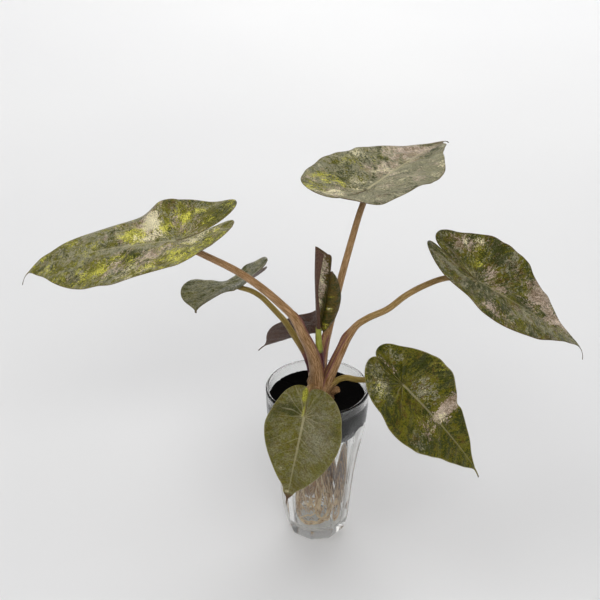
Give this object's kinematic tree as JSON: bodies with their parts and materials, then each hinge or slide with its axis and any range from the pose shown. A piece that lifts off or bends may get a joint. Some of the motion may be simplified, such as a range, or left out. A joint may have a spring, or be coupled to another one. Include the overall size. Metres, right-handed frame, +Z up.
{
  "type": "potted alocasia",
  "caption": "Variegated arrow-leaved houseplant with bare roots, held by a foam collar in a tall faceted clear drinking glass.",
  "frame": {"origin": "centre of the flat underside of the glass", "axes": "+Z up, -Y towards the front that the picture shows, +X to its right"},
  "size_m": [0.4255, 0.2035, 0.3155],
  "materials": {
    "clear_glass": "clear, polished",
    "black_foam": "matt open-cell foam",
    "stalk_skin": "smooth waxy skin with fine pale lengthwise stripes",
    "lime_stalk": "smooth waxy skin",
    "leaf_olive": "satin leaf, marbled olive, lime and pinkish cream",
    "leaf_purple": "satin leaf, purple-brown",
    "root_skin": "matt, fibrous"
  },
  "bodies": {
    "root": {"glass": "clear_glass", "collar": "black_foam", "crown": "stalk_skin", "petiole_left": "stalk_skin", "petiole_top": "stalk_skin", "petiole_right": "stalk_skin", "petiole_low_right": "stalk_skin", "petiole_front": "stalk_skin", "petiole_back_left": "stalk_skin", "petiole_back": "stalk_skin", "petiole_new": "lime_stalk", "leaf_left": "leaf_olive", "leaf_top": "leaf_olive", "leaf_right": "leaf_olive", "leaf_low_right": "leaf_olive", "leaf_front": "leaf_olive", "leaf_back_left": "leaf_olive", "leaf_back": "leaf_purple", "leaf_new": "leaf_purple", "roots": "root_skin"}
  },
  "joints": []
}
